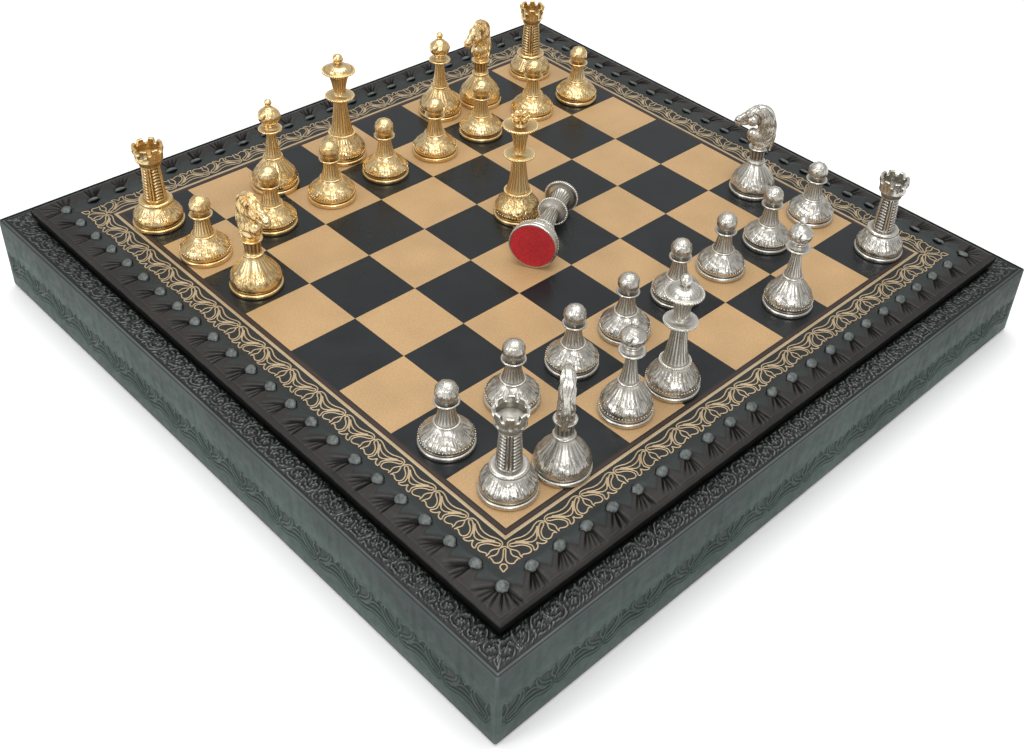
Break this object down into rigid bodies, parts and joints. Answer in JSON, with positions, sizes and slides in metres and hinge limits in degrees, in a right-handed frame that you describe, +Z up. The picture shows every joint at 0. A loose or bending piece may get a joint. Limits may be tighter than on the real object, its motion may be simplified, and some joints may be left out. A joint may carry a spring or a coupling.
{
  "type": "chess set with board",
  "caption": "Chess set of plated metal pieces with felt pads on a lift-off board, over a leatherette-covered wooden storage box with felt-lined compartments.",
  "frame": {"origin": "centre of the box's underside, on the surface it stands on", "axes": "+Z up, +X along the ranks from the silver side's left corner, +Y from the silver side to the gold side"},
  "size_m": [0.349, 0.349, 0.1025],
  "materials": {
    "gold_plated_metal": "bright gold plating over hammered casting, dark in the recesses",
    "silver_plated_metal": "bright silver plating over hammered casting, dark in the recesses",
    "red_felt": "short flat red felt",
    "printed_leatherette": "smooth satin leatherette printed with dark and bronze squares and a gold-line border",
    "leatherette_roll": "dark brown gathered leatherette, satin",
    "leatherette_ledge": "black leatherette with dense floral tooling, satin",
    "leatherette_side": "grey-green black leatherette with an embossed leaf garland, satin",
    "edge_stud": "small domed stud covered in dark leatherette",
    "wood": "plain sanded board",
    "green_felt": "short felt lining",
    "black_felt": "short felt under the box"
  },
  "bodies": {
    "box": {"foot_felt": "black_felt", "base_panel": "wood", "side_cover": "leatherette_side", "ledge_cover": "leatherette_ledge", "floor_felt": "green_felt", "divider_long": "wood", "divider_cross": "wood", "wall_front": "wood", "wall_right": "wood", "wall_back": "wood", "wall_left": "wood"},
    "board": {"board_panel": "wood", "board_felt": "green_felt", "locating_strips": "wood", "playing_sheet": "printed_leatherette", "edge_studs": "edge_stud", "edge_roll_front": "leatherette_roll", "edge_roll_right": "leatherette_roll", "edge_roll_back": "leatherette_roll", "edge_roll_left": "leatherette_roll"},
    "gold_king": {"gold_king": "gold_plated_metal", "gold_king_pad": "red_felt"},
    "gold_queen": {"gold_queen": "gold_plated_metal", "gold_queen_pad": "red_felt"},
    "gold_bishop_left": {"gold_bishop_left": "gold_plated_metal", "gold_bishop_left_pad": "red_felt"},
    "gold_bishop_right": {"gold_bishop_right": "gold_plated_metal", "gold_bishop_right_pad": "red_felt"},
    "gold_knight_left": {"gold_knight_left": "gold_plated_metal"},
    "gold_knight_right": {"gold_knight_right": "gold_plated_metal"},
    "gold_rook_left": {"gold_rook_left": "gold_plated_metal"},
    "gold_rook_right": {"gold_rook_right": "gold_plated_metal"},
    "gold_pawn_1": {"gold_pawn_1": "gold_plated_metal"},
    "gold_pawn_2": {"gold_pawn_2": "gold_plated_metal"},
    "gold_pawn_3": {"gold_pawn_3": "gold_plated_metal"},
    "gold_pawn_4": {"gold_pawn_4": "gold_plated_metal"},
    "gold_pawn_5": {"gold_pawn_5": "gold_plated_metal"},
    "gold_pawn_6": {"gold_pawn_6": "gold_plated_metal"},
    "gold_pawn_7": {"gold_pawn_7": "gold_plated_metal"},
    "gold_pawn_8": {"gold_pawn_8": "gold_plated_metal"},
    "silver_king": {"silver_king": "silver_plated_metal", "silver_king_pad": "red_felt"},
    "silver_queen": {"silver_queen": "silver_plated_metal", "silver_queen_pad": "red_felt"},
    "silver_bishop_left": {"silver_bishop_left": "silver_plated_metal", "silver_bishop_left_pad": "red_felt"},
    "silver_bishop_right": {"silver_bishop_right": "silver_plated_metal", "silver_bishop_right_pad": "red_felt"},
    "silver_knight_left": {"silver_knight_left": "silver_plated_metal"},
    "silver_knight_right": {"silver_knight_right": "silver_plated_metal"},
    "silver_rook_left": {"silver_rook_left": "silver_plated_metal"},
    "silver_rook_right": {"silver_rook_right": "silver_plated_metal"},
    "silver_pawn_1": {"silver_pawn_1": "silver_plated_metal"},
    "silver_pawn_2": {"silver_pawn_2": "silver_plated_metal"},
    "silver_pawn_3": {"silver_pawn_3": "silver_plated_metal"},
    "silver_pawn_4": {"silver_pawn_4": "silver_plated_metal"},
    "silver_pawn_5": {"silver_pawn_5": "silver_plated_metal"},
    "silver_pawn_6": {"silver_pawn_6": "silver_plated_metal"},
    "silver_pawn_7": {"silver_pawn_7": "silver_plated_metal"},
    "silver_pawn_8": {"silver_pawn_8": "silver_plated_metal"}
  },
  "joints": [
    {"name": "board_lift", "type": "slide", "parent": "box", "child": "board", "axis": [0, 0, 1], "range_m": [0, 0.06]},
    {"name": "gold_king_lift", "type": "slide", "parent": "board", "child": "gold_king", "axis": [0, 0, 1], "range_m": [0, 0.12]},
    {"name": "gold_queen_lift", "type": "slide", "parent": "board", "child": "gold_queen", "axis": [0, 0, 1], "range_m": [0, 0.12]},
    {"name": "gold_bishop_left_lift", "type": "slide", "parent": "board", "child": "gold_bishop_left", "axis": [0, 0, 1], "range_m": [0, 0.12]},
    {"name": "gold_bishop_right_lift", "type": "slide", "parent": "board", "child": "gold_bishop_right", "axis": [0, 0, 1], "range_m": [0, 0.12]},
    {"name": "gold_knight_left_lift", "type": "slide", "parent": "board", "child": "gold_knight_left", "axis": [0, 0, 1], "range_m": [0, 0.12]},
    {"name": "gold_knight_right_lift", "type": "slide", "parent": "board", "child": "gold_knight_right", "axis": [0, 0, 1], "range_m": [0, 0.12]},
    {"name": "gold_rook_left_lift", "type": "slide", "parent": "board", "child": "gold_rook_left", "axis": [0, 0, 1], "range_m": [0, 0.12]},
    {"name": "gold_rook_right_lift", "type": "slide", "parent": "board", "child": "gold_rook_right", "axis": [0, 0, 1], "range_m": [0, 0.12]},
    {"name": "gold_pawn_1_lift", "type": "slide", "parent": "board", "child": "gold_pawn_1", "axis": [0, 0, 1], "range_m": [0, 0.12]},
    {"name": "gold_pawn_2_lift", "type": "slide", "parent": "board", "child": "gold_pawn_2", "axis": [0, 0, 1], "range_m": [0, 0.12]},
    {"name": "gold_pawn_3_lift", "type": "slide", "parent": "board", "child": "gold_pawn_3", "axis": [0, 0, 1], "range_m": [0, 0.12]},
    {"name": "gold_pawn_4_lift", "type": "slide", "parent": "board", "child": "gold_pawn_4", "axis": [0, 0, 1], "range_m": [0, 0.12]},
    {"name": "gold_pawn_5_lift", "type": "slide", "parent": "board", "child": "gold_pawn_5", "axis": [0, 0, 1], "range_m": [0, 0.12]},
    {"name": "gold_pawn_6_lift", "type": "slide", "parent": "board", "child": "gold_pawn_6", "axis": [0, 0, 1], "range_m": [0, 0.12]},
    {"name": "gold_pawn_7_lift", "type": "slide", "parent": "board", "child": "gold_pawn_7", "axis": [0, 0, 1], "range_m": [0, 0.12]},
    {"name": "gold_pawn_8_lift", "type": "slide", "parent": "board", "child": "gold_pawn_8", "axis": [0, 0, 1], "range_m": [0, 0.12]},
    {"name": "silver_king_lift", "type": "slide", "parent": "board", "child": "silver_king", "axis": [0, 0, 1], "range_m": [0, 0.12]},
    {"name": "silver_queen_lift", "type": "slide", "parent": "board", "child": "silver_queen", "axis": [0, 0, 1], "range_m": [0, 0.12]},
    {"name": "silver_bishop_left_lift", "type": "slide", "parent": "board", "child": "silver_bishop_left", "axis": [0, 0, 1], "range_m": [0, 0.12]},
    {"name": "silver_bishop_right_lift", "type": "slide", "parent": "board", "child": "silver_bishop_right", "axis": [0, 0, 1], "range_m": [0, 0.12]},
    {"name": "silver_knight_left_lift", "type": "slide", "parent": "board", "child": "silver_knight_left", "axis": [0, 0, 1], "range_m": [0, 0.12]},
    {"name": "silver_knight_right_lift", "type": "slide", "parent": "board", "child": "silver_knight_right", "axis": [0, 0, 1], "range_m": [0, 0.12]},
    {"name": "silver_rook_left_lift", "type": "slide", "parent": "board", "child": "silver_rook_left", "axis": [0, 0, 1], "range_m": [0, 0.12]},
    {"name": "silver_rook_right_lift", "type": "slide", "parent": "board", "child": "silver_rook_right", "axis": [0, 0, 1], "range_m": [0, 0.12]},
    {"name": "silver_pawn_1_lift", "type": "slide", "parent": "board", "child": "silver_pawn_1", "axis": [0, 0, 1], "range_m": [0, 0.12]},
    {"name": "silver_pawn_2_lift", "type": "slide", "parent": "board", "child": "silver_pawn_2", "axis": [0, 0, 1], "range_m": [0, 0.12]},
    {"name": "silver_pawn_3_lift", "type": "slide", "parent": "board", "child": "silver_pawn_3", "axis": [0, 0, 1], "range_m": [0, 0.12]},
    {"name": "silver_pawn_4_lift", "type": "slide", "parent": "board", "child": "silver_pawn_4", "axis": [0, 0, 1], "range_m": [0, 0.12]},
    {"name": "silver_pawn_5_lift", "type": "slide", "parent": "board", "child": "silver_pawn_5", "axis": [0, 0, 1], "range_m": [0, 0.12]},
    {"name": "silver_pawn_6_lift", "type": "slide", "parent": "board", "child": "silver_pawn_6", "axis": [0, 0, 1], "range_m": [0, 0.12]},
    {"name": "silver_pawn_7_lift", "type": "slide", "parent": "board", "child": "silver_pawn_7", "axis": [0, 0, 1], "range_m": [0, 0.12]},
    {"name": "silver_pawn_8_lift", "type": "slide", "parent": "board", "child": "silver_pawn_8", "axis": [0, 0, 1], "range_m": [0, 0.12]}
  ]
}
